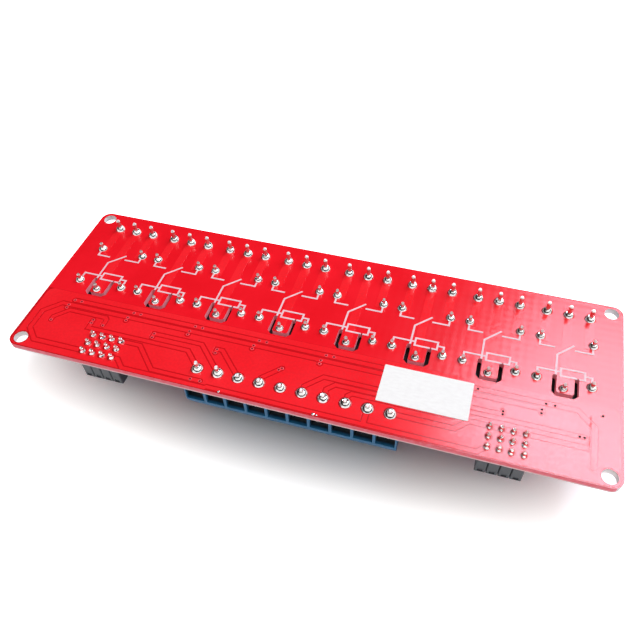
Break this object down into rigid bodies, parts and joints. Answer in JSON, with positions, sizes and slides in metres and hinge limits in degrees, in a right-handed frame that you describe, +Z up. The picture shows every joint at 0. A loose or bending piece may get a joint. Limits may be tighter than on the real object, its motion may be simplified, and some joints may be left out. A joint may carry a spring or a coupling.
{
  "type": "relay module board",
  "caption": "Red relay module board lying solder side up on its relays, with screw terminals, jumper headers, optocouplers and a printed legend.",
  "frame": {"origin": "middle of the board in plan, at the height of the relay lids that the board rests on", "axes": "+X along the board, left to right with the logic input side nearest; +Y across the board from the logic inputs to the switched outputs; +Z up, out of the solder side"},
  "size_m": [0.1424, 0.05, 0.0205],
  "materials": {
    "red_mask": "dark red solder mask on bare board, glossy",
    "red_mask_on_copper": "bright red solder mask over copper, glossy",
    "white_print": "screen-printed white legend",
    "white_label": "blank paper label, semi-gloss",
    "relay_blue": "moulded relay case, satin",
    "terminal_blue": "moulded terminal block, satin",
    "tinned_metal": "tin-plated pin or clamp",
    "screw_steel": "zinc-plated screw",
    "solder": "bright reflowed solder",
    "header_black": "moulded header base",
    "cap_grey": "moulded jumper cap",
    "package_black": "moulded component package",
    "chip_black": "chip resistor with tinned ends",
    "led_clear": "clear indicator lens on a white chip"
  },
  "bodies": {
    "root": {"circuit_board": "red_mask", "copper_tracks": "red_mask_on_copper", "legend_print": "white_print", "blank_label": "white_label", "relay_1": "relay_blue", "relay_2": "relay_blue", "relay_3": "relay_blue", "relay_4": "relay_blue", "relay_5": "relay_blue", "relay_6": "relay_blue", "relay_7": "relay_blue", "relay_8": "relay_blue", "relay_pins": "tinned_metal", "output_terminal_1": "terminal_blue", "output_terminal_2": "terminal_blue", "output_terminal_3": "terminal_blue", "output_terminal_4": "terminal_blue", "output_terminal_5": "terminal_blue", "output_terminal_6": "terminal_blue", "output_terminal_7": "terminal_blue", "output_terminal_8": "terminal_blue", "output_clamps": "tinned_metal", "output_screws": "screw_steel", "input_terminal_left": "terminal_blue", "input_terminal_middle": "terminal_blue", "input_terminal_right": "terminal_blue", "input_clamps": "tinned_metal", "input_screws": "screw_steel", "jumper_header_left": "header_black", "jumper_header_right": "header_black", "header_pins": "tinned_metal", "jumper_cap_1": "cap_grey", "jumper_cap_2": "cap_grey", "jumper_cap_3": "cap_grey", "jumper_cap_4": "cap_grey", "jumper_cap_5": "cap_grey", "jumper_cap_6": "cap_grey", "jumper_cap_7": "cap_grey", "jumper_cap_8": "cap_grey", "jumper_clips": "tinned_metal", "optocoupler_1": "package_black", "optocoupler_2": "package_black", "optocoupler_3": "package_black", "optocoupler_4": "package_black", "optocoupler_5": "package_black", "optocoupler_6": "package_black", "optocoupler_7": "package_black", "optocoupler_8": "package_black", "optocoupler_leads": "tinned_metal", "driver_transistors": "package_black", "flyback_diodes": "package_black", "chip_resistors": "chip_black", "indicator_leds": "led_clear", "relay_solder": "solder", "output_solder": "solder", "input_solder": "solder", "header_solder": "solder"}
  },
  "joints": []
}
